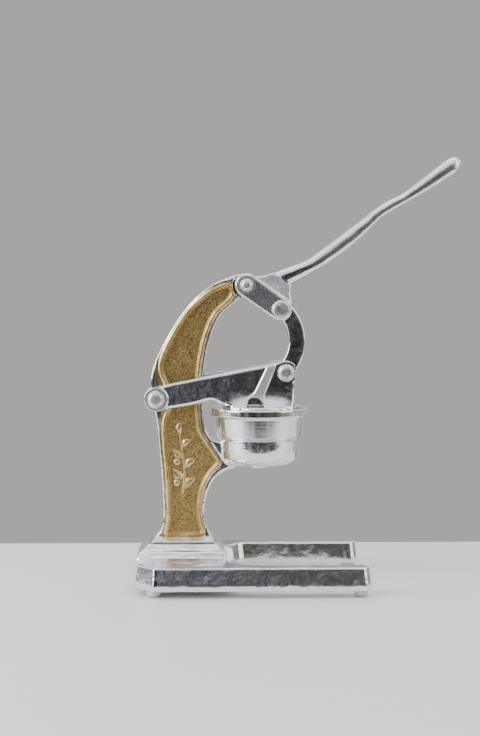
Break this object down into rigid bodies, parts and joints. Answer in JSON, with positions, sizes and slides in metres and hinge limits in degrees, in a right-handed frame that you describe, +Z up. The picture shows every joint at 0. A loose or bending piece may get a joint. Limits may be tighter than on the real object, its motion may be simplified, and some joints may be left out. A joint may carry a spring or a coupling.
{
  "type": "lever citrus press",
  "caption": "Cast aluminium lever citrus press: curved column with cup holder on a U-shaped base, strainer cup, domed press arm, C-link and long handle.",
  "frame": {"origin": "on the table, under the middle of the press's bounding box", "axes": "+X towards the open front of the base and the handle's end, +Y to the far side, +Z up"},
  "size_m": [0.3228, 0.161, 0.4245],
  "materials": {
    "polished_aluminium": "hand-polished sand casting, slightly wavy",
    "antique_gold": "mottled antique-gold paint with a pebbled grain",
    "steel": "satin zinc-plated steel",
    "bumper_rubber": "cream translucent rubber"
  },
  "bodies": {
    "frame": {"base": "polished_aluminium", "column": "polished_aluminium", "column_bolt_rear": "steel", "column_bolt_front": "steel", "column_washer_rear": "steel", "column_washer_front": "steel", "foot_rear_right": "bumper_rubber", "foot_rear_left": "bumper_rubber", "foot_front_right": "bumper_rubber", "foot_front_left": "bumper_rubber"},
    "cup": {"strainer_cup": "polished_aluminium"},
    "lever": {"lever": "polished_aluminium", "lever_bolt": "steel", "lever_nut": "steel", "lever_washer_near": "steel", "lever_washer_far": "steel", "knee_bolt": "steel", "knee_nut": "steel"},
    "press_arm": {"press_arm": "polished_aluminium", "arm_bolt": "steel", "arm_nut": "steel", "arm_washer_near": "steel", "arm_washer_far": "steel", "link_bolt": "steel", "link_nut": "steel"},
    "link": {"link": "polished_aluminium"}
  },
  "joints": [
    {"name": "lever_swing", "type": "hinge", "parent": "frame", "child": "lever", "pos_m": [-0.052, 0, 0.2975], "axis": [0, -1, 0], "range_deg": [0, 60]},
    {"name": "arm_swing", "type": "hinge", "parent": "frame", "child": "press_arm", "pos_m": [-0.141, 0, 0.1855], "axis": [0, -1, 0], "range_deg": [0, 20]},
    {"name": "link_swing", "type": "hinge", "parent": "press_arm", "child": "link", "pos_m": [-0.013, 0, 0.2115], "axis": [0, -1, 0], "range_deg": [-41.2, 0]},
    {"name": "cup_turn", "type": "hinge", "parent": "frame", "child": "cup", "pos_m": [-0.0385, 0, 0.146], "axis": [0, 0, 1], "continuous": true}
  ],
  "couplings": [
    {"joint": "arm_swing", "follows": "lever_swing", "ratio": 0.3325},
    {"joint": "link_swing", "follows": "lever_swing", "ratio": -0.685}
  ]
}
